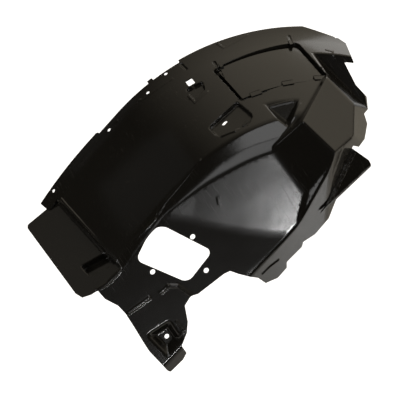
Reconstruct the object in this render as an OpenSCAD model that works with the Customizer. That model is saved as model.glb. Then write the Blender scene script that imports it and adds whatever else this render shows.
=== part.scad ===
// Wheel arch cover of a car's front wheel, moulded in one piece, with a clip-in service hatch.
// X runs along the car, Y along the wheel's axis towards the outside, Z up.
// The origin is the middle of the bracket's screw hole, halfway through its wall.

/* [Wall] */
// Thickness of the moulded wall
wall = 2.5; // [2:0.1:3.5]

/* [Arch] */
// Radius of the crown at the outboard fold
crown_r = 454; // [440:1:470]
// Radius of the curve at the front of the arch
front_r = 900; // [850:5:950]
// Length of the straight ramp between the crown and the front curve
ramp_len = 80; // [70:1:90]
// Slope of the ramp above the horizontal
ramp_slope = 46.4; // [45:0.1:48]
// Place of the crown's centre along the car
crown_x = 302; // [295:1:310]
// Height of the crown's centre
crown_z = 60; // [55:1:65]
// Distance of the outboard fold from the side wall
fold_y = 232; // [226:1:240]
// Width of the tread from the fold to its corner, along the wheel's axis
tread_w = 225; // [218:1:228]
// Drop of the tread towards the wheel's axis across that width
tread_drop = 89; // [84:1:94]
// Rise of the tread's middle above a straight slope
tread_crown = 7; // [3:0.5:10]
// Width of the sloping shoulder under the corner, along the wheel's axis
shoulder_w = 24; // [20:1:26]
// Drop of the shoulder towards the wheel's axis
shoulder_drop = 48; // [42:1:54]
// End of the tread past the top of the crown, in degrees
crown_end = 14.5; // [13:0.1:16]

/* [Lip] */
// Width of the folded lip along the wheel's axis
lip_w = 28; // [24:1:32]
// Width of the lip along the ramp
lip_narrow_w = 21; // [16:1:22]
// Rise of the folded lip over its width
lip_rise = 14; // [10:1:18]
// Diameter of the lip's screw holes
lip_hole_d = 8; // [6:0.5:10]
// Width of the lip's two tabs along the edge
tab_w = 11; // [8:1:16]

/* [Flap] */
// Depth of the clip pocket in the flap
clip_pocket_depth = 14; // [10:1:20]

/* [Side wall] */
// Corner radius of the opening
opening_r = 14; // [10:1:26]
// Diameter of the side wall's screw holes
wall_hole_d = 10.5; // [8:0.5:12]
// Diameter of the bracket's screw hole
bracket_hole_d = 9.5; // [8:0.5:12]
// Depth of the dish around the bracket's screw hole
dish_depth = 12; // [8:1:16]

/* [Pockets] */
// Depth of the boss's seat below the tread
boss_depth = 9; // [6:0.5:12]
// Length of the boss's slot hole
boss_slot_l = 13; // [10:1:18]
// Width of the boss's slot hole
boss_slot_w = 7; // [5:0.5:9]
// Depth of the shallow pocket beside the square hole
catch_pocket_depth = 6; // [4:0.5:8]
// Side of the square hole along the arch
square_hole_l = 14; // [12:1:16]
// Side of the square hole along the wheel's axis
square_hole_w = 20; // [16:1:22]

/* [Hatch] */
// Depth of the hatch's face below the tread at its front edge
hatch_sink_front = 1; // [0.5:0.5:2]
// Depth of the hatch's face below the tread at its rear edge
hatch_sink_rear = 7; // [5:0.5:8]
// Gap between the hatch and its frame
hatch_gap = 1.5; // [1:0.1:2]
// Width of the seat under the hatch
seat_w = 12; // [9:1:15]
// Width of the hatch's three tongues
tongue_w = 22; // [18:1:26]
// Reach of the tongues past the hatch's inboard edge
tongue_reach = 9; // [7:0.5:11]
// Width of the hatch's two catches
catch_w = 6; // [5:0.5:8]
// Reach of the catches past the hatch's outboard edge
catch_reach = 13; // [10:0.5:15]
// Thickness of the tongues and catches
tongue_t = 1.5; // [1.2:0.1:2]

/* [Hidden] */
$fn = 96;
far = 900;
eps = 0.01;
plastic = [0.07, 0.07, 0.07];
fit = 0.3;

function unit(v) = v / norm(v);

// A point deep inside the cover: every facet's outer side faces away from it.
core = [300, 60, 300];

// A frame lying on the plane through three points: +Z leaves the cover.
function away(a, b, c, ref) =
    let (w = unit(cross(b - a, c - a))) w * (ref - a) > 0 ? -w : w;
module on_plane(a, b, c, ref = core) {
    n = away(a, b, c, ref);
    u = unit(b - a);
    v = cross(n, u);
    multmatrix([[u[0], v[0], n[0], a[0]], [u[1], v[1], n[1], a[1]], [u[2], v[2], n[2], a[2]], [0, 0, 0, 1]])
        children();
}
function flat(pts, ref = core) =
    let (a = pts[0], n = away(a, pts[1], pts[2], ref), u = unit(pts[1] - a), v = cross(n, u))
    [for (p = pts) [(p - a) * u, (p - a) * v]];

// What lies beyond the plane through three points, moved in by o.
module beyond(a, b, c, o = 0, ref = core)
    on_plane(a, b, c, ref) translate([-far, -far, -o]) cube([2 * far, 2 * far, far]);

// A closed outline grown by o on every side, whichever way round it runs.
function area(p) = let (k = len(p))
    [for (i = 0, s = 0; i <= k; s = s + (i < k ? cross(p[i], p[(i + 1) % k]) : 0), i = i + 1) s][k];
function side_n(a, b, way) = let (d = unit(b - a)) way * [d[1], -d[0]];
function grown(p, o) = let (k = len(p), way = area(p) > 0 ? 1 : -1)
    [for (i = [0 : k - 1])
        let (n0 = side_n(p[(i + k - 1) % k], p[i], way), n1 = side_n(p[i], p[(i + 1) % k], way), m = unit(n0 + n1))
        p[i] + m * o / (m * n0)];

// The arch's section: [outwards from the fold, towards the side wall].
bow_n = 8;
tread_pts = [for (i = [0 : bow_n]) let (t = i / bow_n)
    [-tread_drop * t + 4 * tread_crown * t * (1 - t), tread_w * t]];
function tread_level(y) = let (t = (fold_y - y) / tread_w) -tread_drop * t + 4 * tread_crown * t * (1 - t);
function tread_tilt(y) = let (t = (fold_y - y) / tread_w) atan((tread_drop - 4 * tread_crown * (1 - 2 * t)) / tread_w);
section_pts = concat([[lip_rise, -lip_w]], tread_pts, [[-tread_drop - shoulder_drop, tread_w + shoulder_w]]);

// An open run moved in by o.
function inner(pts, o) = [for (i = [0 : len(pts) - 1])
    let (n0 = side_n(pts[max(i - 1, 0)], pts[max(i, 1)], 1),
         n1 = side_n(pts[min(i, len(pts) - 2)], pts[min(i + 1, len(pts) - 1)], 1),
         m = unit(n0 + n1))
    pts[i] - m * o / (m * n0)];
section_depth = crown_r - 54;
open_y = 60;
function open_end(s) = let (k = open_y / (s[1][1] - s[0][1])) s[0] - (s[1] - s[0]) * k;
function filled_section(o) = let (s = inner(section_pts, o), d = section_depth + 4 * o, past = open_end(s))
    concat(o > 0 ? [past] : [], s, [[-d, tread_w + shoulder_w - o], [-d, o > 0 ? past[1] : s[0][1]]]);

// The filled arch under its outer skin, moved in by o; the moved one runs past both ends.
front_turn = 12;
open_turn = 6;
module along_crown() translate([crown_x, fold_y, crown_z]) rotate([90, 0, 0]) children();
module arc(from, to, r, pts, fn)
    rotate([0, 0, 90 + from]) rotate_extrude(angle = to - from, $fn = fn)
        polygon([for (p = pts) [p[0] + r, p[1]]]);
module ramp(length, pts) rotate([0, 0, 90 + ramp_slope]) rotate([90, 0, 0]) mirror([0, 0, 1])
    linear_extrude(length) polygon([for (p = pts) [p[0] + crown_r, p[1]]]);
module arch_fill(o) along_crown() {
    past = o > 0 ? open_turn : 0;
    arc(-crown_end - past, ramp_slope, crown_r, filled_section(o), 240);
    ramp(ramp_len, filled_section(o));
    rotate([0, 0, ramp_slope]) translate([-ramp_len, crown_r - front_r, 0])
        arc(0, front_turn + past / 2, front_r, filled_section(o), 360);
}

// A frame at the top of the crown's surface, h degrees before the top: X to the rear, Z outwards.
module at_heading(h) translate([crown_x, 0, crown_z]) rotate([0, -h, 0]) children();

// Corners of the flat facets, on the outer skin.
crease_front = [-21, 0, 234];
crease_rear = [235, 0, 182];
facet_top = [100, -12, 360];
wall_low = [100, 0, 100];
step_out = [-155, 241, 222];
step_in = [-96, 22, 147];
step_deep = [-60, 130, 80];
flap_front = [-213, 237, 176];
flap_low = [-170, 16, 89];
hump_foot_top = [205, -14.5, 366];
hump_foot_low = [270.5, -8, 274.5];
wall_end_low = [256, -2, 207];
ridge_front = [252, -46, 419];
ridge_rear = [317, -46, 354];
hump_tread = [322, 60, 466];
facet_a_rear = [381, 66, 418];
facet_a_low = [363, 3, 363];
end_crease_out = [330, 172, 495];
end_crease_in = [347, 80, 457];
side_edge = [421, 133, 369];
wedge_top = [368, 27, 341];
wedge_low = [303, 6, 221];
edge_front = [160, 0, 109];
edge_far = [274, 42, 150];
panel_corner = [404, 37, 313];
panel_foot = [411, 39, 299];
panel_low = [321, 11, 233];
facet_end_y = 172;
flap_y = 240;

// The flap and the low part of the side wall: what lies under the flap's plane.
module flap_fill(o) difference() {
    m = o > 0 ? open_y : 0;
    union() {
        translate([-260 - m, 0, -100 - m]) cube([220 + m, flap_y + m, 340 + m]);
        translate([-260 - m, 0, -100 - m]) cube([436 + 2 * m, flap_y + m, 210 + m]);
    }
    beyond(flap_front, step_out, flap_low, o);
}
// The raised box at the rear end.
module hump_fill(o) difference() {
    translate([200, -60, 150]) cube([o > 0 ? 280 : 240, o > 0 ? 340 : 280, 330]);
    intersection() {
        beyond(hump_foot_top, hump_foot_low, ridge_front, o);
        beyond(ridge_rear, hump_foot_low, wall_end_low, o);
    }
    beyond(ridge_rear, wedge_top, wedge_low, o);
    beyond(hump_foot_top, ridge_front, hump_tread, o);
}
module body_fill(o) difference() {
    union() {
        difference() {
            arch_fill(o);
            beyond(step_out, step_in, step_deep, o);
        }
        flap_fill(o);
    }
    intersection() {
        beyond(crease_front, crease_rear, facet_top, o);
        beyond(crease_front, crease_rear, wall_low, o);
    }
}
module rear_cuts(o) {
    beyond(ridge_front, ridge_rear, hump_tread, o);
    beyond(facet_a_rear, facet_a_low, side_edge, o);
    intersection() {
        beyond(end_crease_out, end_crease_in, facet_a_rear, o);
        translate([0, -far + facet_end_y + o, 0]) cube([far, far, far]);
    }
    beyond(edge_front, wall_end_low, edge_far, o);
}

// Pockets sunk from the outer skin; o grows them by the wall for the inner form.
// Their floors lie along the tread; outlines are seen square to it, from the pocket's middle.
module on_tread_at(h, y) at_heading(h)
    translate([0, y, crown_r + tread_level(y)]) rotate([tread_tilt(y), 0, 0]) children();
module pocket(h, y, outline, depth, o) on_tread_at(h, y)
    translate([0, 0, -depth - o]) linear_extrude(60) polygon(grown(outline, o));
catch_pocket = [[-16, 20], [-17, -20], [12, -10], [16, 14]];
catch_pocket_at = [28, 160];
boss_outline = [[-44, 12], [28, 36], [38, -16], [20, -34], [-40, -22]];
boss_at = [25.5, 48];
boss_slot_at = [-13, 9];
clip_pocket = [[-153, 73, 133], [-110, 62, 158], [-97, 23, 147], [-144, 40, 121]];
notch_front = [202, 50, 433];
notch_rear = [267, 41, 440];
notch_low = [231, -15, 398];
notch_apex = [238, 24, 403];
notch_under = [236, 60, 340];
module notch(o) intersection() {
    beyond(notch_front, notch_apex, notch_low, o, notch_under);
    beyond(notch_rear, notch_apex, notch_low, o, notch_under);
    beyond(notch_front, notch_rear, notch_apex, o, notch_under);
}
dish_mouth = [[-42, 8], [-1, -37], [28, -6], [2, 34]];
dish_scale = 0.5;
module dish(o) translate([0, dish_depth + o, 0]) rotate([90, 0, 0])
    linear_extrude(dish_depth + 40, scale = 1 + (dish_depth + 40) * (1 / dish_scale - 1) / dish_depth)
        polygon(grown([for (q = dish_mouth) q * dish_scale], o));

// The hatch's outline, seen along the radius at its middle.
hatch_h = 8.5;
hatch_outline = [[-97.6, 187], [70.3, 207], [93.5, 97], [-78, 82]];
module sunk() {
    dx = (hatch_sink_front - hatch_sink_rear) / (2 * sin(12));
    translate([dx * cos(hatch_h), 0, -(hatch_sink_front + hatch_sink_rear) / 2 + dx * sin(hatch_h)]) children();
}
module hatch_column(o) at_heading(hatch_h) translate([0, 0, crown_r - 130])
    linear_extrude(200) polygon(grown(hatch_outline, o));
module hatch_well(o) difference() {
    hatch_column(o);
    sunk() arch_fill(wall + fit + o);
}

module all_fill(o) difference() {
    union() {
        body_fill(o);
        hump_fill(o);
    }
    rear_cuts(o);
    pocket(catch_pocket_at[0], catch_pocket_at[1], catch_pocket, catch_pocket_depth, o);
    pocket(boss_at[0], boss_at[1], boss_outline, boss_depth, o);
    notch(o);
    hatch_well(o);
    on_plane(clip_pocket[0], clip_pocket[1], clip_pocket[2]) translate([0, 0, -clip_pocket_depth - o])
        linear_extrude(60) polygon(grown(flat(clip_pocket), o));
    dish(o);
}

// The free edge of the side wall, seen along the wheel's axis.
hem = [[176, 60], [160, 109], [138, 116], [121, 123], [109, 118], [58, 82], [44, 79], [32, 61],
    [38, 29], [36, 7], [26, -18], [40, -36], [34, -50], [9, -72], [1, -67], [-37, -25],
    [-46, -11], [-66, 23], [-84, 52], [-99, 69], [-125, 84], [-139, 101], [-168, 88],
    [-176, 92], [-215, 172], [-213, 178], [-190, 200], [-330, 330], [-330, 620], [560, 620], [560, 60]];

// The free edge of the rear end, trimmed along one slanted direction.
trim_turn = 15;
trim_dip = 14;
trim_at = [124, fold_y, 206];
rear_edge = [[-500, 500], [256, 500], [256, 308], [262, 308], [277, 298], [293, 260], [274, 262], [296, 219],
    [317, 196], [323, 177], [312, 164], [318, 145], [313, 116], [302, 101], [325, 70], [327, 61],
    [219, -65], [196, -80], [194, -89], [165, -118], [165, -129], [148, -148], [125, -158],
    [110, -148], [95, -146], [95, -500], [-500, -500]];
module trim() {
    translate([0, 400, 0]) rotate([90, 0, 0]) linear_extrude(700) polygon(hem);
}
module slanted() translate(trim_at) rotate([0, 0, -trim_turn]) rotate([90 - trim_dip, 0, 0])
    translate([0, 0, -far]) children();
module rear_trim() slanted() linear_extrude(2 * far) polygon(rear_edge);

smooth_from = 27.2;
// Cuts of the lip: it is narrower along the ramp and the crown's start, apart from two tabs.
narrow_ramp = 50;
tab_h = 35.4;
function band(o) = [[-40 - o, -lip_w - 40 - o], [60 + o, -lip_w - 40 - o], [60 + o, o - lip_narrow_w],
    [-40 - o, o - lip_narrow_w]];
module lip_cuts() along_crown() difference() {
    union() {
        arc(smooth_from, ramp_slope, crown_r, band(0), 240);
        ramp(narrow_ramp, band(0));
    }
    tab_half = tab_w / crown_r * 90 / PI;
    arc(tab_h - tab_half, tab_h + tab_half, crown_r, band(1), 240);
}
// The smooth edge runs out towards the rear end.
edge_out = [337, 257, 523];
edge_in = [392, 233, 506];
module edge_cut() beyond(edge_out, edge_in, edge_out - [0, 0, 100], 0, [300, 60, 300]);
// The lip's tip stands free of the flap, at the tread's level.
module lip_tip() intersection() {
    difference() {
        arch_fill(0);
        arch_fill(wall);
    }
    translate([-400, fold_y - 1, 0]) cube([400, 60, 400]);
    beyond(step_out, step_in, step_deep, 1);
    tip_end();
}
tip_run = 224;
module tip_end() along_crown() rotate([0, 0, ramp_slope]) translate([-tip_run, 0, -100]) cube([tip_run, 600, 200]);
// The panel beside the raised box, and its seam along the wedge.
module panel() {
    pts = [wedge_top, panel_corner, panel_foot, panel_low, wedge_low];
    on_plane(wedge_top, panel_corner, wedge_low) translate([0, 0, -wall]) linear_extrude(wall) polygon(panel_pts(pts));
}
function panel_pts(pts) = let (a = pts[0], n = away(a, pts[1], pts[4], core), u = unit(pts[1] - a), v = cross(n, u))
    [for (p = pts) [(p - a) * u, (p - a) * v]];
lip_tilt = atan(lip_rise / lip_w);
lip_holes = [[-160, 251, 238, 51], [-52, 242, 352, 46.4], [23, 238, 421, 37.9], [60.5, 248, 454, 31.5]];
module lip_hole(q) translate([q[0], q[1], q[2]]) rotate([0, -q[3], 0]) rotate([lip_tilt, 0, 0])
    translate([0, 0, -20]) cylinder(d = lip_hole_d, h = 40);
// What stands behind the panel is open: the raised box ends at its own edge.
panel_window = [[291, 103], [302, 101], [321, 76], [319, 66], [247, -10], [234, -23]];
module behind_panel() {
    slanted() linear_extrude(2 * far) polygon(panel_window);
    translate([330, 50, 100]) cube([200, 300, 232]);
}
module wall_hole(p, d) translate([p[0], -40, p[1]]) rotate([-90, 0, 0]) cylinder(d = d, h = 100);
wall_holes = [[47.7, 194.5], [74.4, 127], [-31, 130.9]];
opening_corners = [[87.5, 163.8], [38.8, 105], [-64.6, 155.9], [-36.5, 211.2], [-15.4, 222.9]];
module rounded(p, r) {
    q = grown(p, -r);
    k = len(q);
    polygon(q);
    for (i = [0 : k - 1])
        let (a = q[i], b = q[(i + 1) % k], d = unit(b - a), n = [d[1], -d[0]])
            polygon([a - r * n, b - r * n, b + r * n, a + r * n]);
    for (c = q) translate(c) circle(r = r);
}
module opening() rotate([90, 0, 0]) translate([0, 0, -40]) linear_extrude(80) rounded(opening_corners, opening_r);

// The square hole beside the catch pocket.
module square_hole() on_tread_at(28.2, 190)
    translate([-square_hole_l / 2, -square_hole_w / 2, -20]) cube([square_hole_l, square_hole_w, 40]);
module boss_slot() on_tread_at(boss_at[0], boss_at[1]) translate([boss_slot_at[0], boss_slot_at[1], -40])
    rotate([0, 0, 25]) {
        l = (boss_slot_l - boss_slot_w) / 2;
        translate([-l, -boss_slot_w / 2, 0]) cube([2 * l, boss_slot_w, 60]);
        for (x = [-l, l]) translate([x, 0, 0]) cylinder(d = boss_slot_w, h = 60);
    }

// Three tongues lie on the frame at the hatch's inboard edge, and two catches at its outboard edge.
tongue_at = [-50, 16, 80];
catch_at = [-84, 60];
hatch_len = 170;
function edge_y(a, b, x) = a[1] + (x - a[0]) * (b[1] - a[1]) / (b[0] - a[0]);
function sink_at(x) = (hatch_sink_front + hatch_sink_rear) / 2 + (hatch_sink_rear - hatch_sink_front) * x / hatch_len;
module clip(x, y, w, reach, way) {
    drop = sink_at(x) + wall / 2;
    on_tread_at(hatch_h - asin(x / (crown_r + tread_level(y))), y)
        translate([-w / 2, 0, 0]) {
            translate([0, way > 0 ? -hatch_gap - wall : -reach, fit])
                cube([w, reach + hatch_gap + wall, tongue_t]);
            translate([0, way > 0 ? -hatch_gap - wall : hatch_gap, -drop])
                cube([w, wall, drop + fit + tongue_t]);
        }
}

module liner_shell() color(plastic) difference() {
    union() {
        intersection() {
            difference() {
                all_fill(0);
                all_fill(wall);
            }
            trim();
            rear_trim();
        }
        lip_tip();
    }
    behind_panel();
    lip_cuts();
    edge_cut();
    opening();
    for (p = wall_holes) wall_hole(p, wall_hole_d);
    wall_hole([0, 0], bracket_hole_d);
    for (q = lip_holes) lip_hole(q);
    square_hole();
    boss_slot();
    hatch_column(-seat_w);
}
module service_hatch() color(plastic) {
    intersection() {
        hatch_column(-hatch_gap);
        sunk() difference() {
            arch_fill(0);
            arch_fill(wall);
        }
    }
    for (x = tongue_at)
        clip(x, edge_y(hatch_outline[3], hatch_outline[2], x), tongue_w, tongue_reach, -1);
    for (x = catch_at)
        clip(x, edge_y(hatch_outline[0], hatch_outline[1], x), catch_w, catch_reach, 1);
}

// Both stand in the row's frame: its origin is the middle of the bracket's screw hole.
module placed() translate([0, -dish_depth - wall / 2, 0]) children();
module shell_and_panel() color(plastic) {
    liner_shell();
    panel();
}
placed() shell_and_panel();  // liner_shell
placed() service_hatch();
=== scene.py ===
import math

import bmesh
import bpy
import numpy as np
from mathutils import Matrix, Vector


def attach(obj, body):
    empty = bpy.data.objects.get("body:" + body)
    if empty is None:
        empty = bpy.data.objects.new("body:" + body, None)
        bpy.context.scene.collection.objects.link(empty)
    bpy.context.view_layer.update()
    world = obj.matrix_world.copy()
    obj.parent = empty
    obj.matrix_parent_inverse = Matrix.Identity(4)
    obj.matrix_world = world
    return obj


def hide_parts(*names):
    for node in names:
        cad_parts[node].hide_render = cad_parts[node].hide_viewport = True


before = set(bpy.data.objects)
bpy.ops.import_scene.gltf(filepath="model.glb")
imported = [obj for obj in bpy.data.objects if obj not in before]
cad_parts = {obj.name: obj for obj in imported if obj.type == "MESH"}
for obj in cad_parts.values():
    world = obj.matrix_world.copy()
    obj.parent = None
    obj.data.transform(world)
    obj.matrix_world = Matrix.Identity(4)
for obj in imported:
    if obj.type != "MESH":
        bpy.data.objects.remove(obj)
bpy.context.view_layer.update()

# Camera. The photograph looks at the engine side of the cover through a long lens, 15 degrees to
# the left of the wheel's axis and 14 degrees down.
look = Vector((0.2511, 0.9372, -0.2419)).normalized()
middle = Vector((0.124, 0.21875, 0.206))
away = 3
camera = bpy.data.objects.new("camera", bpy.data.cameras.new("camera"))
bpy.context.scene.collection.objects.link(camera)
camera.data.type = "ORTHO"
camera.data.ortho_scale = 0.76
camera.data.clip_end = 20
aim = look.to_track_quat("-Z", "Y").to_matrix().to_4x4()
camera.matrix_world = Matrix.Translation(middle - look * away) @ aim
bpy.context.scene.camera = camera
bpy.context.scene.view_settings.view_transform = "Standard"

# Studio. A white backdrop and pale floor; the room is dim, brighter towards the ceiling at the
# right, so the black plastic shows dark reflections with soft bright fields in them.
world = bpy.data.worlds.new("studio")
bpy.context.scene.world = world
world.use_nodes = True
tree = world.node_tree
tree.nodes.clear()
out = tree.nodes.new("ShaderNodeOutputWorld")
background = tree.nodes.new("ShaderNodeBackground")
warm = tree.nodes.new("ShaderNodeMix")
warm.data_type = "RGBA"
warm.inputs["A"].default_value = (1.0, 0.9, 0.72, 1)
warm.inputs["B"].default_value = (1, 1, 1, 1)
path = tree.nodes.new("ShaderNodeLightPath")
direction = tree.nodes.new("ShaderNodeTexCoord")
towards = tree.nodes.new("ShaderNodeVectorMath")
towards.operation = "DOT_PRODUCT"
towards.inputs[1].default_value = (0.5, 0.2, 0.84)
ceiling = tree.nodes.new("ShaderNodeMapRange")
ceiling.interpolation_type = "SMOOTHSTEP"
for name, value in (("From Min", 0.3), ("From Max", 1.0), ("To Min", 0.025), ("To Max", 0.8)):
    ceiling.inputs[name].default_value = value
seen = tree.nodes.new("ShaderNodeMath")
seen.operation = "MAXIMUM"
tree.links.new(direction.outputs["Generated"], towards.inputs[0])
tree.links.new(towards.outputs["Value"], ceiling.inputs["Value"])
tree.links.new(ceiling.outputs["Result"], seen.inputs[0])
tree.links.new(path.outputs["Is Camera Ray"], seen.inputs[1])
tree.links.new(path.outputs["Is Camera Ray"], warm.inputs["Factor"])
tree.links.new(warm.outputs["Result"], background.inputs["Color"])
tree.links.new(seen.outputs[0], background.inputs["Strength"])
tree.links.new(background.outputs[0], out.inputs[0])


def soft_box(name, place, target, width, height, watts):
    """A lamp with a rectangular face that looks at a target."""
    lamp = bpy.data.lights.new(name, "AREA")
    lamp.shape = "RECTANGLE"
    lamp.size = width
    lamp.size_y = height
    lamp.energy = watts
    box = bpy.data.objects.new(name, lamp)
    bpy.context.scene.collection.objects.link(box)
    aim = (Vector(target) - Vector(place)).to_track_quat("-Z", "Y")
    box.matrix_world = Matrix.Translation(place) @ aim.to_matrix().to_4x4()


# The low boxes light the side wall, the front ones its folds and the shoulder, the rear ones the
# end flange and the crown, the left ones the flap and the lip; the last one brightens the floor.
soft_box("low_front_box", (1.06, -2.70, -1.09), (0.23, -0.02, 0.26), 0.14, 0.14, 8.5)
soft_box("low_wide_box", (0.75, -2.70, -1.02), (0.15, -0.02, 0.26), 0.6, 0.22, 0.3)
soft_box("front_box", (0.25, -2.0, 0.68), (0.15, 0.0, 0.33), 0.7, 1.15, 5.0)
soft_box("rear_box", (1.55, 2.6, 0.28), (0.34, 0.11, 0.47), 0.9, 0.7, 0.8)
soft_box("front_top_box", (0.25, -1.25, 1.3), (0.15, 0.0, 0.3), 0.8, 0.5, 2.9)
soft_box("high_rear_box", (1.0, 1.2, 1.4), (0.3, 0.2, 0.45), 0.6, 0.5, 1.3)
soft_box("left_box", (-1.4, -0.05, 0.35), (0.3, 0.0, 0.3), 0.8, 0.8, 6.0)
soft_box("lip_box", (-1.31, 0.75, 1.53), (-0.08, 0.24, 0.33), 0.6, 0.6, 0.08)
soft_box("floor_box", (0.92, 0.16, -0.15), (0.92, 0.16, -0.4), 0.3, 0.3, 1.4)

floor_z, floor_front, floor_back = -0.4, -0.35, 5
floor_mesh = bpy.data.meshes.new("floor")
floor_mesh.from_pydata([(-2, floor_front, floor_z), (4, floor_front, floor_z), (4, floor_back, floor_z),
                        (-2, floor_back, floor_z)], [], [(0, 1, 2, 3)])
floor = bpy.data.objects.new("floor", floor_mesh)
bpy.context.scene.collection.objects.link(floor)
paper = bpy.data.materials.new("pale_paper")
paper.use_nodes = True
tree = paper.node_tree
bsdf = tree.nodes["Principled BSDF"]
bsdf.inputs["Base Color"].default_value = (0.8, 0.8, 0.8, 1)
bsdf.inputs["Roughness"].default_value = 0.9
path = tree.nodes.new("ShaderNodeLightPath")
tree.links.new(path.outputs["Is Camera Ray"], bsdf.inputs["Emission Strength"])
bsdf.inputs["Emission Color"].default_value = (1, 1, 1, 1)
floor_mesh.materials.append(paper)

# Moulded plastic. Black polypropylene with a satin skin: a faint orange peel from the mould, fine
# handling scratches that scatter the light a little, and grey dust grains that cling to it.
def effect_group(name, inputs, outputs):
    """An empty node group with its sockets, and its two end nodes."""
    group = bpy.data.node_groups.new(name, "ShaderNodeTree")
    for socket, kind, value in inputs:
        made = group.interface.new_socket(socket, in_out="INPUT", socket_type=kind)
        if value is not None:
            made.default_value = value
    for socket, kind in outputs:
        group.interface.new_socket(socket, in_out="OUTPUT", socket_type=kind)
    return group, group.nodes.new("NodeGroupInput"), group.nodes.new("NodeGroupOutput")


def math_node(tree, operation, *values, clamp=False):
    """A math node fed with sockets or numbers; gives its result."""
    node = tree.nodes.new("ShaderNodeMath")
    node.operation = operation
    node.use_clamp = clamp
    for socket, value in zip(node.inputs, values):
        if isinstance(value, (int, float)):
            socket.default_value = value
        else:
            tree.links.new(value, socket)
    return node.outputs[0]


def noise_node(tree, vector, scale, detail):
    """A noise texture; gives its height from 0 to 1."""
    node = tree.nodes.new("ShaderNodeTexNoise")
    tree.links.new(vector, node.inputs["Vector"])
    if isinstance(scale, (int, float)):
        node.inputs["Scale"].default_value = scale
    else:
        tree.links.new(scale, node.inputs["Scale"])
    node.inputs["Detail"].default_value = detail
    return node.outputs["Fac"]


grain, start, end = effect_group(
    "mould_grain",
    [("Vector", "NodeSocketVector", None), ("Scale", "NodeSocketFloat", 90.0),
     ("Depth", "NodeSocketFloat", 1.0)],
    [("Height", "NodeSocketFloat")])
peel = noise_node(grain, start.outputs["Vector"], start.outputs["Scale"], 3)
wave = noise_node(grain, start.outputs["Vector"], 14, 1)
height = math_node(grain, "MULTIPLY_ADD", wave, 6.0, peel)
grain.links.new(math_node(grain, "MULTIPLY", height, start.outputs["Depth"]), end.inputs["Height"])

scratches, start, end = effect_group(
    "fine_scratches",
    [("Vector", "NodeSocketVector", None), ("Turn", "NodeSocketFloat", 0.6),
     ("Amount", "NodeSocketFloat", 0.5)],
    [("Mask", "NodeSocketFloat")])
turned = scratches.nodes.new("ShaderNodeVectorRotate")
scratches.links.new(start.outputs["Vector"], turned.inputs["Vector"])
scratches.links.new(start.outputs["Turn"], turned.inputs["Angle"])
turned.inputs["Axis"].default_value = (0.3, 1.0, 0.2)
drawn = scratches.nodes.new("ShaderNodeVectorMath")
drawn.operation = "MULTIPLY"
drawn.inputs[1].default_value = (1400, 60, 16)
scratches.links.new(turned.outputs["Vector"], drawn.inputs[0])
line = noise_node(scratches, drawn.outputs["Vector"], 1, 0)
patch = noise_node(scratches, start.outputs["Vector"], 9, 2)
strong = math_node(scratches, "MULTIPLY_ADD", line, 9.0, -6.4, clamp=True)
where = math_node(scratches, "MULTIPLY_ADD", patch, 5.0, -2.4, clamp=True)
both = math_node(scratches, "MULTIPLY", strong, where)
scratches.links.new(math_node(scratches, "MULTIPLY", both, start.outputs["Amount"]), end.inputs["Mask"])

dust, start, end = effect_group(
    "clinging_dust",
    [("Vector", "NodeSocketVector", None), ("Scale", "NodeSocketFloat", 500.0),
     ("Amount", "NodeSocketFloat", 0.5)],
    [("Mask", "NodeSocketFloat")])
cells = dust.nodes.new("ShaderNodeTexVoronoi")
dust.links.new(start.outputs["Vector"], cells.inputs["Vector"])
dust.links.new(start.outputs["Scale"], cells.inputs["Scale"])
cells.inputs["Randomness"].default_value = 1
speck = math_node(dust, "LESS_THAN", cells.outputs["Distance"], 0.16)
few = noise_node(dust, start.outputs["Vector"], 22, 4)
rare = math_node(dust, "MULTIPLY_ADD", few, 7.0, -4.3, clamp=True)
both = math_node(dust, "MULTIPLY", speck, rare)
dust.links.new(math_node(dust, "MULTIPLY", both, start.outputs["Amount"]), end.inputs["Mask"])


def plastic_skin(name, base, rough, depth, scratch, dusty):
    """Black plastic from a base colour, a roughness and how strong its three effects are."""
    material = bpy.data.materials.new(name)
    material.use_nodes = True
    tree = material.node_tree
    bsdf = tree.nodes["Principled BSDF"]
    place = tree.nodes.new("ShaderNodeTexCoord")
    parts = []
    effects = ((grain, "Depth", depth), (scratches, "Amount", scratch), (dust, "Amount", dusty))
    for group, socket, value in effects:
        node = tree.nodes.new("ShaderNodeGroup")
        node.node_tree = group
        tree.links.new(place.outputs["Object"], node.inputs["Vector"])
        node.inputs[socket].default_value = value
        parts.append(node.outputs[0])
    height, scratched, dusted = parts
    cloud = noise_node(tree, place.outputs["Object"], 11, 4)
    colour = tree.nodes.new("ShaderNodeMix")
    colour.data_type = "RGBA"
    colour.inputs["A"].default_value = (*base, 1)
    colour.inputs["B"].default_value = (0.11, 0.1, 0.085, 1)
    cover = math_node(tree, "MULTIPLY_ADD", scratched, 0.35, math_node(tree, "MULTIPLY", cloud, 0.015))
    tree.links.new(math_node(tree, "ADD", cover, dusted, clamp=True), colour.inputs["Factor"])
    tree.links.new(colour.outputs["Result"], bsdf.inputs["Base Color"])
    satin = math_node(tree, "MULTIPLY_ADD", cloud, 0.03, rough)
    satin = math_node(tree, "MULTIPLY_ADD", scratched, 0.25, satin)
    tree.links.new(math_node(tree, "MULTIPLY_ADD", dusted, 0.5, satin), bsdf.inputs["Roughness"])
    bump = tree.nodes.new("ShaderNodeBump")
    bump.inputs["Strength"].default_value = 0.05
    bump.inputs["Distance"].default_value = 0.001
    tree.links.new(height, bump.inputs["Height"])
    tree.links.new(bump.outputs["Normal"], bsdf.inputs["Normal"])
    return material


plastic = plastic_skin("moulded_plastic", base=(0.0085, 0.0076, 0.0062), rough=0.138, depth=1.0,
                       scratch=0.7, dusty=0.45)

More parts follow.
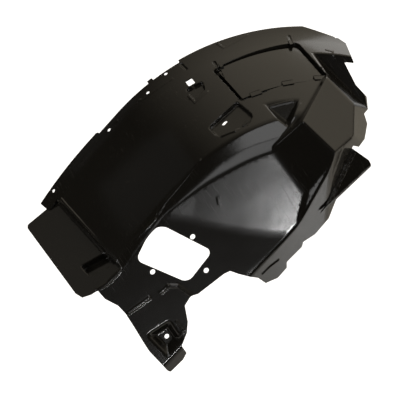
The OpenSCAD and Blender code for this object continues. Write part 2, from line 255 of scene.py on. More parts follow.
# Liner shell. One moulding of black polypropylene, 2.5 mm thick, with every fold rounded as the
# mould leaves it. Its outer skin is the zero level of a distance field in millimetres: the arch's
# section swept over crown, ramp and front curve, the flap, the side wall and the raised box.
wall, crown_r, front_r, ramp_len, ramp_slope = 2.5, 454.0, 900.0, 80.0, math.radians(46.4)
crown_x, crown_z, fold_y, tread_w, tread_drop, tread_bow = 302.0, 60.0, 232.0, 225.0, 89.0, 28.0
lip_w, lip_narrow_w, lip_slope, shoulder_slope, dish_depth, fold_r = 28.0, 21.0, 0.5, 2, 12.0, 3.5
shift = np.array([0.0, -dish_depth - wall / 2, 0.0])
core = np.array([300.0, 60.0, 300.0])


def unit(v):
    return v / np.linalg.norm(v)


def beyond(p, a, b, c, ref=core):
    """Distance past the plane through three points, seen from a point on its inner side."""
    a, b, c = (np.array(q, float) for q in (a, b, c))
    n = unit(np.cross(b - a, c - a))
    if n @ (np.array(ref, float) - a) > 0:
        n = -n
    return (p - a) @ n


def meet(a, b, r):
    """What lies in both, its edge rounded."""
    return np.minimum(-r, np.maximum(a, b)) + np.hypot(np.maximum(r + a, 0), np.maximum(r + b, 0))


def join(a, b, r):
    """What lies in either, its inner corner filled."""
    return np.maximum(r, np.minimum(a, b)) - np.hypot(np.maximum(r - a, 0), np.maximum(r - b, 0))


def outline(pts, x, y, r=0.0):
    """Signed distance to a convex outline whose corners are rounded."""
    pts = np.array(pts, float)
    turn = sum(np.cross(pts[i - 1], pts[i]) for i in range(len(pts)))
    d = None
    for i in range(len(pts)):
        e = unit(pts[i] - pts[i - 1])
        side = ((x - pts[i - 1][0]) * e[1] - (y - pts[i - 1][1]) * e[0]) * np.sign(turn)
        d = side if d is None else meet(d, side, r) if r else np.maximum(d, side)
    return d


def run(p):
    """Height over the arch's path, and the way along it towards the flap."""
    x, z = p[..., 0] - crown_x, p[..., 2] - crown_z
    s = -x * math.cos(ramp_slope) - z * math.sin(ramp_slope)
    q = -x * math.sin(ramp_slope) + z * math.cos(ramp_slope)
    front = np.hypot(s - ramp_len, q - crown_r + front_r) - front_r
    h = np.where(s < 0, np.hypot(x, z) - crown_r, np.where(s < ramp_len, q - crown_r, front))
    crown_way = -crown_r * (ramp_slope - np.arctan2(-x, z))
    front_way = ramp_len + front_r * np.arctan2(s - ramp_len, q - crown_r + front_r)
    return h, np.where(s < 0, crown_way, np.where(s < ramp_len, s, front_way))


def level(t):
    """Height of the tread over the arch's path, t going from the lip's fold to the side wall."""
    return -tread_drop * t + tread_bow * t * (1 - t)


def arch(p, fold=4.0, corner=3.5):
    """The swept section: lip, bowed tread and shoulder, with the radii of its two folds."""
    h = run(p)[0]
    w = fold_y - p[..., 1]
    t = w / tread_w
    slope = (-tread_drop + tread_bow * (1 - 2 * t)) / tread_w
    tread = (h - level(t)) / np.sqrt(1 + slope * slope)
    lip = (h + lip_slope * w) / math.hypot(1, lip_slope)
    shoulder = (h + tread_drop + shoulder_slope * (w - tread_w)) / math.hypot(1, shoulder_slope)
    return meet(join(lip, tread, fold), shoulder, corner)


def heading(p, h):
    """Place seen along a heading of the crown: across, along the axle and outwards."""
    h = math.radians(h)
    x, z = p[..., 0] - crown_x, p[..., 2] - crown_z
    return x * math.cos(h) + z * math.sin(h), p[..., 1], -x * math.sin(h) + z * math.cos(h)


def on_tread(p, h, y):
    """Place in a frame that lies on the tread: across, along the tread and out of it."""
    t = (fold_y - y) / tread_w
    tilt = math.atan((tread_drop - tread_bow * (1 - 2 * t)) / tread_w)
    x, b, c = heading(p, h)
    b, c = b - y, c - crown_r - level(t)
    return x, b * math.cos(tilt) + c * math.sin(tilt), c * math.cos(tilt) - b * math.sin(tilt)


# Corners and folds of the moulding, as points on its outer skin.
crease_front, crease_rear = (-21, 0, 234), (235, 0, 182)
facet_top, wall_low = (100, -12, 360), (100, 0, 100)
step_out, step_in, step_deep = (-155, 241, 222), (-96, 22, 147), (-60, 130, 80)
flap_front, flap_low = (-213, 237, 176), (-170, 16, 89)
hump_foot_top, hump_foot_low, wall_end_low = (205, -14.5, 366), (270.5, -8, 274.5), (256, -2, 207)
ridge_front, ridge_rear, hump_tread = (252, -46, 419), (317, -46, 354), (322, 60, 466)
facet_a_rear, facet_a_low, side_edge = (381, 66, 418), (363, 3, 363), (421, 133, 369)
end_crease_out, end_crease_in = (330, 172, 495), (347, 80, 457)
wedge_top, wedge_low = (368, 27, 341), (303, 6, 221)
edge_front, edge_far = (160, 0, 109), (274, 42, 150)
panel_corner, panel_foot, panel_low = (404, 37, 313), (411, 39, 299), (321, 11, 233)
notch_front, notch_rear, notch_low = (202, 50, 433), (267, 41, 440), (231, -15, 398)
notch_apex, notch_under = (238, 24, 403), (236, 60, 340)
clip_pocket = [(-153, 73, 133), (-110, 62, 158), (-97, 23, 147), (-144, 40, 121)]
boss_outline = [(-44, 12), (28, 36), (38, -16), (20, -34), (-40, -22)]
catch_outline = [(-16, 20), (-17, -20), (12, -10), (16, 14)]
dish_mouth = [(-42, 8), (-1, -37), (28, -6), (2, 34)]
hatch_outline = [(-97.6, 187), (70.3, 207), (93.5, 97), (-78, 82)]
hatch_h = 8.5
groove_at, groove_w, groove_depth = 0.4, 3.3, 13
# Beads, ribs, rims and sunk marks of the moulding: height, half width and way along the skin.
ridges = [
    (1.7, 3.2, [(-152, 222, 228), (-139, 154, 208.4), (-123.7, 93, 187), (-98.5, 11, 152)]),
    (1.3, 3.0, [(-153.7, 230.6, 218.4), (-132, 146.4, 188.3), (-110.5, 61.7, 158.4)]),
    (0.4, 2.0, [(-146.4, 235.9, 244), (-123.7, 239.8, 275), (-101.4, 242.4, 302.2), (-75.7, 242.8, 330),
                (-47, 239.7, 358), (-16.8, 235, 386.7), (15.4, 230.6, 413), (44.2, 228, 433.4),
                (67.5, 226.6, 448)]),
    (1.0, 2.5, [(-97, 9, 156.5), (-82.7, 7.6, 174.5), (-68, 7, 192.3), (-45.3, 3.8, 213),
                (-25.8, 3.2, 233.6)]),
    (0.8, 2.3, [(-20, 4, 243), (-5, 7, 264.6), (9.7, 7.2, 280), (37.8, 8, 311), (65, 12, 341)]),
    (0.9, 2.4, [(207.4, 44, 428), (231, 43.7, 432.4), (254, 42, 437)]),
    (0.9, 2.4, [(266, 28, 434), (250, 5, 417), (237.6, -4.6, 398.6)]),
    (2.0, 5.0, [(-140, 1, 104), (-119, 0, 115), (-107, 0, 127.7), (-97, 1, 137)]),
    (0.9, 2.4, [(82, 157, 430.4), (87.6, 133, 423), (113, 140.4, 440)]),
    (1.7, 3.1, [(112, 24.7, 382), (135.7, 19, 391.7), (164, 35.5, 403.5)]),
    (0.8, 2.3, [(102, 63, 389), (124, 70.6, 409), (152.5, 81.6, 424.5)]),
    (2.4, 5.2, [(-80, 0, 53.7), (-59, 0, 67), (-38.5, 0, 80.5)]),
    (2.4, 5.0, [(-15, 0, 90.7), (-1, 0, 101.5)]),
    (2.4, 5.0, [(-1, 0, 101.5), (18.6, 0, 100.3), (44, 0, 81)]),
    (1.6, 3.6, [(16.6, 0, 31.9), (30, 0, 14), (22.7, 0, 4)]),
    (-2.5, 3.2, [(145.9, 210.8, 479.9), (148, 189.4, 469.3)]),
    (-2.5, 3.2, [(299.3, 232.9, 515.6), (298, 206, 508.5)]),
    (-3.0, 3.0, [(90.8, 247.6, 470.7), (95.8, 229.7, 464.9)]),
    (-2.6, 4.0, [(190.2, 16.5, 110.7), (204, 17.2, 123.3), (221, 21.2, 133)]),
    (0.9, 3.0, [(361, 184.5, 496), (370.3, 182.4, 493.8), (371.5, 172, 484.5)]),
    (0.6, 2.2, [(165, 253, 503.8), (172.8, 238, 499), (196, 244, 507.8), (222, 253.2, 517.7)]),
    (1.0, 2.2, [(-41, 240.7, 365.3), (-37, 240, 369)]),
    (1.0, 2.2, [(3.4, 237.2, 406.4), (6.9, 235.6, 408.5)]),
    (0.5, 4.0, [(96, -4.4, 268.7), (98.2, -3.7, 258.5)]),
    (-0.3, 1.6, [(-126.7, 251, 279.3), (-123, 227.4, 268)]),
    (-0.3, 1.6, [(-116, 254.3, 294.4), (-134.7, 250.3, 269.2)]),
]
hatch_sink = np.array([-14.27, 0.0, -6.13])
seam_beads = [
    (1.0, 2.4, [(370.2, 27.6, 337.5), (310, 7.7, 228)]),
    (0.8, 2.2, [(377, 29, 335), (316, 9.4, 229)]),
]
wall_holes = [(47.7, 194.5, 5.25), (74.4, 127, 5.25), (-31, 130.9, 5.25), (0, 0, 4.75)]


def flap(p):
    """The flap at the front end, 0.1 mm of rounding where its plane meets its bounds."""
    x, z = p[..., 0], p[..., 2]
    near = np.minimum(np.maximum(x + 40, z - 240), np.maximum(x - 176, z - 110))
    return meet(near, beyond(p, flap_front, step_out, flap_low), 0.1)


def hump(p):
    """The raised box at the rear end; its two front faces fold inwards against each other."""
    x, y, z = p[..., 0], p[..., 1], p[..., 2]
    d = np.maximum(np.maximum(200 - x, 150 - z), np.maximum(z - 480, y - 220))
    d = np.maximum(d, x - 440)
    front = join(beyond(p, hump_foot_top, hump_foot_low, ridge_front),
                 beyond(p, ridge_rear, hump_foot_low, wall_end_low), 3)
    for side in (front, beyond(p, ridge_rear, wedge_top, wedge_low),
                 beyond(p, hump_foot_top, ridge_front, hump_tread)):
        d = meet(d, side, fold_r)
    return d


def arch_before_step(p):
    return meet(arch(p), beyond(p, step_out, step_in, step_deep), fold_r)


def beyond_wedge(p):
    """Past the slanted face between the raised box and the rear panel, in its own part only."""
    face = beyond(p, ridge_rear, wedge_top, wedge_low)
    return np.minimum(face, np.minimum(p[..., 0] - 306, 365 - p[..., 2]))


def body(p):
    """Arch, flap and side wall. The upper wall bows by 1 mm; its top fold widens towards the rear."""
    d = join(arch_before_step(p), flap(p), fold_r)
    bow = np.minimum(abs(p[..., 0] - 160), 110)
    upper = beyond(p, crease_front, crease_rear, facet_top) + bow * bow / 18600
    side = join(upper, beyond(p, crease_front, crease_rear, wall_low), 0.8)
    top_fold = 2.5 + 5.5 * np.clip((p[..., 0] - 20) / 90, 0, 1)
    return meet(d, side, top_fold)


def clip_frame(p):
    """The clip's pocket in the flap: its outline, and the place in the plane of its mouth."""
    a, b, c, _ = (np.array(q, float) for q in clip_pocket)
    u, n = unit(b - a), unit(np.cross(b - a, c - a))
    n = -n if n @ (core - a) > 0 else n
    v = np.cross(n, u)
    pts = [((np.array(q, float) - a) @ u, (np.array(q, float) - a) @ v) for q in clip_pocket]
    return pts, (p - a) @ u, (p - a) @ v, (p - a) @ n


def path_way(p, points):
    """Distance to a path through points, where it is near; far off it reads 50."""
    points = np.array(points, float)
    near = ((p > points.min(0) - 12) & (p < points.max(0) + 12)).all(-1)
    best = np.full(p.shape[:-1], 50.0)
    q = p[near]
    for a, b in zip(points, points[1:]):
        e = b - a
        k = np.clip((q - a) @ e / (e @ e), 0, 1)
        best[near] = np.minimum(best[near], np.linalg.norm(q - a - k[:, None] * e, axis=1))
    return best


def skin_field(p):
    """The formed skin with its beads and sunk marks; a line 2 mm off the skin still counts as on it."""
    d = formed_skin(p)
    for height, r, points in ridges:
        way = path_way(p, points)
        side = np.sqrt(np.maximum(way * way - 4, 0)) / r
        d = d - height * (1 - np.clip(side, 0, 1) ** 2) ** 2
    return d


def near_detail(p):
    """How far the nearest small form is: there the net is made finer."""
    x, y, _ = heading(p, hatch_h)
    screw_seat = np.linalg.norm(p - (-5, 6, 0), axis=-1) - 20
    best = np.minimum(abs(outline(hatch_outline, x, y, 4) - groove_at) - groove_w, screw_seat)
    for a, b, r in wall_holes[:3]:
        rim = abs(np.hypot(p[..., 0] - a, p[..., 2] - b) - r) - 3
        best = np.minimum(best, np.maximum(rim, p[..., 1] - 30))
    for _, r, points in ridges:
        best = np.minimum(best, path_way(p, points) - r)
    return best


def formed_skin(p):
    """Body and raised box with their cuts, pockets, notch, hatch recess and screw seat."""
    d = meet(join(body(p), hump(p), 5), beyond_wedge(p), 2)
    d = meet(d, beyond(p, ridge_front, ridge_rear, hump_tread), 4)
    d = meet(d, beyond(p, facet_a_rear, facet_a_low, side_edge), fold_r)
    end_face = beyond(p, end_crease_out, end_crease_in, facet_a_rear)
    d = meet(d, np.minimum(end_face, end_crease_out[1] - p[..., 1]), 3)
    d = meet(d, beyond(p, edge_front, wall_end_low, edge_far), 4)
    x, y, z = on_tread(p, 28, 160)
    d = meet(d, -meet(outline(catch_outline, x, y, 4), -(z + 6), 2), 2)
    x, y, z = on_tread(p, 25.5, 48)
    d = meet(d, -meet(outline(boss_outline, x, y, 5), -(z + 9), 3), 2.5)
    under = [beyond(p, a, notch_apex, b, notch_under) for a, b in
             ((notch_front, notch_low), (notch_rear, notch_low), (notch_front, notch_rear))]
    d = meet(d, np.minimum(np.minimum(under[0], under[1]), under[2]), 2)
    x, y, z = heading(p, hatch_h)
    edge, over = outline(hatch_outline, x, y, 4), arch(p)
    d = meet(d, np.minimum(-edge, arch(p - hatch_sink) + wall + 0.3), 1.2)
    d = meet(d, np.minimum(groove_w - abs(edge - groove_at), over + groove_depth), 0.4)
    pts, x, y, z = clip_frame(p)
    d = meet(d, -meet(outline(pts, x, y, 3), -(z + 14), 2.5), 2)
    s = np.maximum(1 + (dish_depth - p[..., 1]) / dish_depth, 0.2)
    dish = outline([(0.5 * a, 0.5 * b) for a, b in dish_mouth], p[..., 0] / s, p[..., 2] / s, 3) * s * 0.75
    return meet(d, -meet(dish, p[..., 1] - dish_depth, 2), 3)


def net(field, low, high, step):
    """The zero level of a field as a net of triangles, one corner in each cell that it crosses."""
    axes = [np.arange(low[i], high[i] + step, step) for i in range(3)]
    size = [len(a) for a in axes]
    v = np.empty(size, np.float32)
    for i in range(0, size[0], 16):
        g = np.stack(np.meshgrid(axes[0][i:i + 16], axes[1], axes[2], indexing="ij"), -1)
        v[i:i + 16] = field(g)
    inside = v < 0
    count = sum(inside[i:size[0] - 1 + i, j:size[1] - 1 + j, k:size[2] - 1 + k].astype(np.int8)
                for i in (0, 1) for j in (0, 1) for k in (0, 1))
    cells = np.argwhere((count > 0) & (count < 8))
    index = -np.ones(count.shape, np.int64)
    index[tuple(cells.T)] = np.arange(len(cells))
    total, hits = np.zeros((len(cells), 3)), np.zeros(len(cells))
    for axis in range(3):
        for i in (0, 1):
            for j in (0, 1):
                start = np.zeros(3, int)
                start[(axis + 1) % 3], start[(axis + 2) % 3] = i, j
                end = start.copy()
                end[axis] = 1
                a, b = (v[tuple((cells + e).T)] for e in (start, end))
                cross = (a < 0) != (b < 0)
                t = np.where(cross, a / np.where(cross, a - b, 1), 0)
                at = cells + start + t[:, None] * (end - start)
                total[cross] += at[cross]
                hits[cross] += 1
    points = np.array([a[0] for a in axes]) + total / hits[:, None] * step
    quads = []
    for axis in range(3):
        one = np.zeros(3, int)
        one[axis] = 1
        sub = tuple(slice(0, n - o) for n, o in zip(size, one))
        nxt = tuple(slice(o, n) for n, o in zip(size, one))
        for way in (0, 1):
            hit = inside[sub] & ~inside[nxt] if way else ~inside[sub] & inside[nxt]
            e = np.argwhere(hit)
            b1, b2 = np.zeros(3, int), np.zeros(3, int)
            b1[(axis + 1) % 3], b2[(axis + 2) % 3] = 1, 1
            for other in ((axis + 1) % 3, (axis + 2) % 3):
                e = e[(e[:, other] > 0) & (e[:, other] < size[other] - 1)]
            ring = [index[tuple((e - o).T)] for o in (b1 + b2, b2, 0 * b1, b1)]
            quads.append(np.stack(ring if way else ring[::-1], 1))
    q = np.concatenate(quads)
    return points, np.concatenate([q[:, [0, 1, 2]], q[:, [0, 2, 3]]])


def slope_of(field, p, e=0.05):
    return np.stack([field(p + e * way) - field(p - e * way) for way in np.eye(3)], -1) / (2 * e)


def settle(field, p, rounds=4):
    """Moves points onto the zero level of a field."""
    for _ in range(rounds):
        g = slope_of(field, p)
        move = -field(p)[:, None] * g / np.maximum((g * g).sum(-1), 0.2)[:, None]
        length = np.linalg.norm(move, axis=1, keepdims=True)
        p = p + move * np.minimum(1, 2.5 / np.maximum(length, 1e-9))
    return p


def edges_of(tris):
    """The edges of a net and, for each triangle, which three are its own."""
    pair = np.sort(np.concatenate([tris[:, [0, 1]], tris[:, [1, 2]], tris[:, [2, 0]]]), axis=1)
    edges, back = np.unique(pair, axis=0, return_inverse=True)
    return edges, back.reshape(-1).reshape(3, -1).T


def refine(field, cut, p, tris, rounds, turn, sag, shortest):
    """Halves edges that bend, cross the cut's line or lie near a small form, down to a length."""
    for _ in range(rounds):
        n = slope_of(field, p)
        n /= np.linalg.norm(n, axis=1, keepdims=True)
        t = cut(p)
        edges, of_tri = edges_of(tris)
        a, b = edges.T
        length = np.linalg.norm(p[a] - p[b], axis=1)
        bend = np.degrees(np.arccos(np.clip((n[a] * n[b]).sum(1), -1, 1)))
        bent = (bend > turn) | (bend * length > sag)
        split = (bent | ((t[a] < 0) != (t[b] < 0))) & (length > 2 * shortest)
        split |= (near_detail((p[a] + p[b]) / 2) < 0.5 * length) & (length > shortest)
        split &= (np.minimum(t[a], t[b]) < 3)
        middle = settle(field, (p[a[split]] + p[b[split]]) / 2, 3)
        new = -np.ones(len(edges), int)
        new[split] = len(p) + np.arange(split.sum())
        p = np.concatenate([p, middle])
        m = new[of_tri]
        marks = (m >= 0).sum(1)
        made = [tris[marks == 0]]
        k = marks == 3
        (a, b, c), (u, v, w) = tris[k].T, m[k].T
        made += [np.stack(q, 1) for q in ((a, u, w), (u, b, v), (w, v, c), (u, v, w))]
        for r in range(3):
            roll = [(r + i) % 3 for i in range(3)]
            t3, m3 = tris[:, roll], m[:, roll]
            k = (marks == 1) & (m3[:, 0] >= 0)
            (a, b, c), u = t3[k].T, m3[k, 0]
            made += [np.stack(q, 1) for q in ((a, u, c), (u, b, c))]
            k = (marks == 2) & (m3[:, 0] < 0)
            (a, b, c), v, w = t3[k].T, m3[k, 1], m3[k, 2]
            made += [np.stack(q, 1) for q in ((c, w, v), (a, b, v), (a, v, w))]
        tris = np.concatenate(made)
    return p, tris


def clip(field, cut, p, tris):
    """Keeps what lies inside the cut, with new corners on its line."""
    t = cut(p)
    tris = tris[(t[tris] < 0).any(1)]
    edges, of_tri = edges_of(tris)
    a, b = edges.T
    cross = (t[a] < 0) != (t[b] < 0)
    a, b = a[cross], b[cross]
    lo, hi = np.where((t[a] < 0)[:, None], p[a], p[b]), np.where((t[a] < 0)[:, None], p[b], p[a])
    for _ in range(12):
        mid = (lo + hi) / 2
        inner = (cut(mid) < 0)[:, None]
        lo, hi = np.where(inner, mid, lo), np.where(inner, hi, mid)
    new = -np.ones(len(edges), int)
    new[cross] = len(p) + np.arange(len(a))
    p = np.concatenate([p, settle(field, lo, 1)])
    inside = np.concatenate([t < 0, np.ones(len(lo), bool)])
    m = new[of_tri]
    n_in = inside[tris].sum(1)
    made = [tris[n_in == 3]]
    for r in range(3):
        roll = [(r + i) % 3 for i in range(3)]
        t3, m3 = tris[:, roll], m[:, roll]
        k = (n_in == 1) & inside[t3[:, 0]]
        made.append(np.stack([t3[k, 0], m3[k, 0], m3[k, 2]], 1))
        k = (n_in == 2) & ~inside[t3[:, 0]]
        made += [np.stack([m3[k, 0], t3[k, 1], t3[k, 2]], 1), np.stack([m3[k, 0], t3[k, 2], m3[k, 2]], 1)]
    tris = np.concatenate(made)
    used, tris = np.unique(tris, return_inverse=True)
    return p[used], tris.reshape(-1, 3)


def any_outline(pts, x, y):
    """Signed distance to an outline of any shape."""
    pts = np.array(pts, float)
    best, odd = np.full(x.shape, 1e9), np.zeros(x.shape, bool)
    for a, b in zip(pts, np.roll(pts, -1, 0)):
        e = b - a
        k = np.clip(((x - a[0]) * e[0] + (y - a[1]) * e[1]) / (e @ e), 0, 1)
        best = np.minimum(best, np.hypot(x - a[0] - k * e[0], y - a[1] - k * e[1]))
        over = (a[1] > y) != (b[1] > y)
        odd ^= over & (x < a[0] + (y - a[1]) * e[0] / (e[1] if e[1] else 1))
    return np.where(odd, -best, best)


# Outlines of the cut edges: the hem seen along the axle, and the rear ones seen from the camera.
hem = [(176, 60), (160, 109), (138, 116), (121, 123), (109, 118), (58, 82), (44, 79), (32, 61), (38, 29),
       (36, 7), (26, -18), (40, -36), (34, -50), (9, -72), (1, -67), (-37, -25), (-46, -11), (-66, 23),
       (-84, 52), (-99, 69), (-125, 84), (-139, 101), (-168, 88), (-176, 92), (-215, 172), (-213, 178),
       (-190, 200), (-330, 330), (-330, 620), (560, 620), (560, 60)]
rear_edge = [(-500, 500), (256, 500), (256, 308), (262, 308), (277, 298), (293, 260), (274, 262),
             (296, 219), (317, 196), (323, 177), (312, 164), (318, 145), (313, 116), (302, 101), (325, 70),
             (327, 61), (219, -65), (196, -80), (194, -89), (165, -118), (165, -129), (148, -148),
             (125, -158), (110, -148), (95, -146), (95, -500), (-500, -500)]
panel_window = [(291, 103), (302, 101), (321, 76), (319, 66), (247, -10), (234, -23)]
opening_corners = [(87.5, 163.8), (38.8, 105), (-64.6, 155.9), (-36.5, 211.2), (-15.4, 222.9)]
lip_trim = 1.12
lip_holes = [(-160, 251, 238, 51), (-52, 242, 352, 46.4), (23, 238, 421, 37.9), (60.5, 248, 454, 31.5)]


def slanted(p):
    """Where a point is seen, in millimetres right of and over the camera's middle."""
    q = p - np.array([124, 232, 206])
    a, b = math.radians(-15), math.radians(76)
    x = q[..., 0] * math.cos(a) + q[..., 1] * math.sin(a)
    y = -q[..., 0] * math.sin(a) + q[..., 1] * math.cos(a)
    return x, y * math.cos(b) + q[..., 2] * math.sin(b)


def shell_cut(p):
    """Positive where the skin is cut away: outer edges, window, holes and what lies under the hatch."""
    x, y, z = p[..., 0], p[..., 1], p[..., 2]
    t = any_outline(hem, x, z)
    sx, sy = slanted(p)
    t = np.maximum(t, any_outline(rear_edge, sx, sy))
    t = np.maximum(t, -any_outline(panel_window, sx, sy))
    t = np.maximum(t, -np.maximum(np.maximum(330 - x, 50 - y), z - 332))
    h, way = run(p)
    w = fold_y - y
    t = np.maximum(t, lip_trim - w - lip_w)
    narrow = np.minimum(-w - lip_narrow_w, way + 152.1)
    t = np.maximum(t, np.minimum(narrow, np.minimum(50 - way, abs(way + 87.2) - 5.5)))
    t = np.maximum(t, beyond(p, (337, 257, 523), (392, 233, 506), (337, 257, 423)))
    t = np.maximum(t, -np.maximum(outline(opening_corners, x, z, 14), y - 40))
    for a, b, r in wall_holes:
        t = np.maximum(t, -np.maximum(np.hypot(x - a, z - b) - r, y - 60))
    for a, b, c, turn in lip_holes:
        q = p - np.array([a, b, c])
        k, tilt = math.radians(turn), math.atan(lip_slope)
        u = q[..., 0] * math.cos(k) + q[..., 2] * math.sin(k)
        v = -q[..., 0] * math.sin(k) + q[..., 2] * math.cos(k)
        along = q[..., 1] * math.cos(tilt) + v * math.sin(tilt)
        n = v * math.cos(tilt) - q[..., 1] * math.sin(tilt)
        t = np.maximum(t, -np.maximum(np.hypot(u, along) - 4, abs(n) - 20))
    u, v, n = on_tread(p, 28.2, 190)
    t = np.maximum(t, -np.maximum(np.maximum(abs(u) - 7, abs(v) - 10), abs(n) - 20))
    u, v, n = on_tread(p, 25.5, 48)
    k = math.radians(25)
    u, v = u + 13, v - 9
    u, v = u * math.cos(k) + v * math.sin(k), v * math.cos(k) - u * math.sin(k)
    t = np.maximum(t, -np.maximum(np.hypot(np.maximum(abs(u) - 3, 0), v) - 3.5, abs(n) - 30))
    u, v, n = heading(p, hatch_h)
    t = np.maximum(t, -np.maximum(outline(hatch_outline, u, v) + 12, crown_r - 130 - n))
    end = (x - crown_x) * math.cos(math.radians(14.5)) - (z - crown_z) * math.sin(math.radians(14.5))
    t = np.maximum(t, np.minimum(end, hump(p) - 0.3))
    t = np.maximum(t, np.minimum(y - 219.7, np.minimum(arch(p) - 1.5, x - 100)))
    t = np.maximum(t, x - 439.7)
    return np.maximum(t, np.minimum(y - 239.7, np.minimum(arch_before_step(p) - 1.2, -x)))


def sheet_mesh(name, parts):
    """Outer skin, inner skin a wall's thickness under it, and the rim between them."""
    points, faces, normals, base = [], [], [], 0
    for p, n, tris in parts:
        edges, of_tri = edges_of(tris)
        uses = np.bincount(of_tri.ravel(), minlength=len(edges))
        directed = np.concatenate([tris[:, [0, 1]], tris[:, [1, 2]], tris[:, [2, 0]]])
        rim = directed[uses[of_tri.T.reshape(-1)] == 1]
        k = len(p)
        a, b = rim.T
        side = np.concatenate([np.stack([b, a, a + k], 1), np.stack([b, a + k, b + k], 1)])
        q = np.concatenate([p, p - wall * n])
        flat = np.cross(q[side[:, 1]] - q[side[:, 0]], q[side[:, 2]] - q[side[:, 0]])
        flat /= np.maximum(np.linalg.norm(flat, axis=1, keepdims=True), 1e-12)
        points.append(q)
        faces += [tris + base, tris[:, ::-1] + k + base, side + base]
        normals += [n[tris].reshape(-1, 3), -n[tris[:, ::-1]].reshape(-1, 3), np.repeat(flat, 3, axis=0)]
        base += 2 * k
    mesh = bpy.data.meshes.new(name)
    placed = (np.concatenate(points) + shift) * 0.001
    mesh.from_pydata(placed.tolist(), [], np.concatenate(faces).tolist())
    mesh.polygons.foreach_set("use_smooth", np.ones(len(mesh.polygons), bool))
    mesh.normals_split_custom_set(np.concatenate(normals).tolist())
    mesh.update()
    return mesh


def direction_of(field, p):
    """The field's outward direction at each point."""
    n = slope_of(field, p)
    return n / np.linalg.norm(n, axis=1, keepdims=True)


def tip_cut(p):
    """The lip's front tip, which reaches past the step over the flap."""
    x, y, z = p[..., 0], p[..., 1], p[..., 2]
    s = -(x - crown_x) * math.cos(ramp_slope) - (z - crown_z) * math.sin(ramp_slope)
    t = np.maximum(any_outline(hem, x, z), y - fold_y - lip_w + lip_trim)
    t = np.maximum(t, -beyond(p, step_out, step_in, step_deep) - 1)
    return np.maximum(t, meet(s - 224, fold_y - 1 - y, 6))


def panel_frame(p):
    """Place on the rear panel's plane and distance from it."""
    a, b, c = (np.array(q, float) for q in (wedge_top, panel_corner, wedge_low))
    u, n = unit(b - a), unit(np.cross(b - a, c - a))
    n = -n if n @ (core - a) > 0 else n
    return (p - a) @ u, (p - a) @ np.cross(n, u), (p - a) @ n


def panel_field(p):
    """The panel's plane, its lower edge bent back a little, with a double bead along the wedge."""
    rim_w, rim_bend = 6, 0.7
    x, y, d = panel_frame(p)
    (ax, ay), (bx, by) = (panel_frame(np.array(q, float))[:2] for q in (panel_foot, panel_low))
    e = unit(np.array([bx - ax, by - ay]))
    inwards = abs((x - ax) * e[1] - (y - ay) * e[0])
    d = d + rim_bend * np.maximum(rim_w - inwards, 0)
    for height, r, points in seam_beads:
        way = path_way(p, points)
        d = d - height * (1 - np.clip(way / r, 0, 1) ** 2) ** 2
    return d


def panel_cut(p):
    x, y, _ = panel_frame(p)
    corners = (wedge_top, panel_corner, panel_foot, panel_low, wedge_low)
    return any_outline([panel_frame(np.array(q, float))[:2] for q in corners], x, y)


def sheet(field, cut, low, high, step, rounds=3):
    """One skin of the moulding: points, outward directions and triangles."""
    p, tris = net(field, low, high, step)
    t = cut(p)
    tris = tris[(t[tris] < 3 * step).all(1)]
    used, tris = np.unique(tris, return_inverse=True)
    p, tris = settle(field, p[used]), tris.reshape(-1, 3)
    p, tris = refine(field, cut, p, tris, rounds, turn=14, sag=38, shortest=1.95)
    p, tris = clip(field, cut, p, tris)
    return p, direction_of(field, p), tris


low, high = (-222, -64, -76), (446, 268, 534)
parts = [sheet(skin_field, shell_cut, low, high, 7.0),
         sheet(arch, tip_cut, (-222, 224, 150), (-80, 268, 330), 4.0, 2),
         sheet(panel_field, panel_cut, (295, -2, 212), (420, 46, 350), 4.0, 2)]
liner = bpy.data.objects.new("liner", sheet_mesh("liner", parts))
bpy.context.scene.collection.objects.link(liner)
liner.data.materials.append(plastic)
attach(liner, "root")
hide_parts("liner_shell")

# Service hatch. A separate lid of the same plastic lies 1 to 7 mm under the tread in its own
# recess, held by three tongues towards the side wall and two catches towards the lip.
def hatch_field(p):
    return arch(p - hatch_sink)


def hatch_cut(p):
    x, y, _ = heading(p, hatch_h)
    return outline(hatch_outline, x, y, 3) + 1.5


lid = sheet(hatch_field, hatch_cut, (150, 60, 380), (340, 230, 530), 4.0, 2)
hatch = bpy.data.objects.new("hatch", sheet_mesh("hatch", [lid]))
bpy.context.scene.collection.objects.link(hatch)
hatch.data.materials.append(plastic)


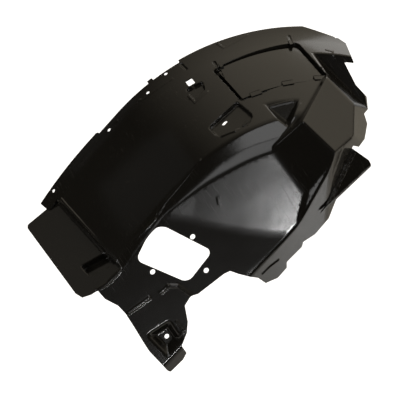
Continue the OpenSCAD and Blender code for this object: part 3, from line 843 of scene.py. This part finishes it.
def tread_place(h, y):
    """The frame that lies on the tread at a heading and a distance from the side wall, in metres."""
    a, t = math.radians(h), (fold_y - y) / tread_w
    tilt = math.atan((tread_drop - tread_bow * (1 - 2 * t)) / tread_w)
    r = crown_r + level(t)
    at = Vector((crown_x - r * math.sin(a), y, crown_z + r * math.cos(a))) + Vector(shift)
    turn = Matrix.Rotation(-a, 4, "Y") @ Matrix.Rotation(tilt, 4, "X")
    return Matrix.Scale(0.001, 4) @ Matrix.Translation(at) @ turn


def edge_y(a, b, x):
    """Height of the line through two corners at x."""
    return a[1] + (x - a[0]) * (b[1] - a[1]) / (b[0] - a[0])


def clip_box(mesh, x, y, width, reach, way):
    """A tongue or catch: a flat on the tread and a post down to the lid; way is +1 or -1."""
    r = crown_r + level((fold_y - y) / tread_w)
    drop = 4 + 6 * x / 170 + wall / 2
    place = tread_place(hatch_h - math.degrees(math.asin(x / r)), y)
    back = 1.5 + wall
    flat = (-back, reach) if way > 0 else (-reach, back)
    post = (-back, -1.5) if way > 0 else (1.5, back)
    for (y0, y1), (z0, z1) in ((flat, (0.3, 1.8)), (post, (-drop, 1.8))):
        made = bmesh.ops.create_cube(mesh, size=1)["verts"]
        box = Matrix.Diagonal((width, y1 - y0, z1 - z0, 1))
        box = Matrix.Translation((0, (y0 + y1) / 2, (z0 + z1) / 2)) @ box
        bmesh.ops.transform(mesh, matrix=place @ box, verts=made)


mesh = bmesh.new()
for x in (-50, 16, 80):
    clip_box(mesh, x, edge_y(hatch_outline[3], hatch_outline[2], x), 22, 9, -1)
for x in (-84, 60):
    clip_box(mesh, x, edge_y(hatch_outline[0], hatch_outline[1], x), 6, 13, 1)
bmesh.ops.bevel(mesh, geom=mesh.edges[:], offset=0.0004, segments=2, affect="EDGES", clamp_overlap=True)
clips = bpy.data.objects.new("hatch_clips", bpy.data.meshes.new("hatch_clips"))
mesh.to_mesh(clips.data)
mesh.free()
bpy.context.scene.collection.objects.link(clips)
clips.data.materials.append(plastic)
for piece in (hatch, clips):
    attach(piece, "root")
    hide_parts("service_hatch")
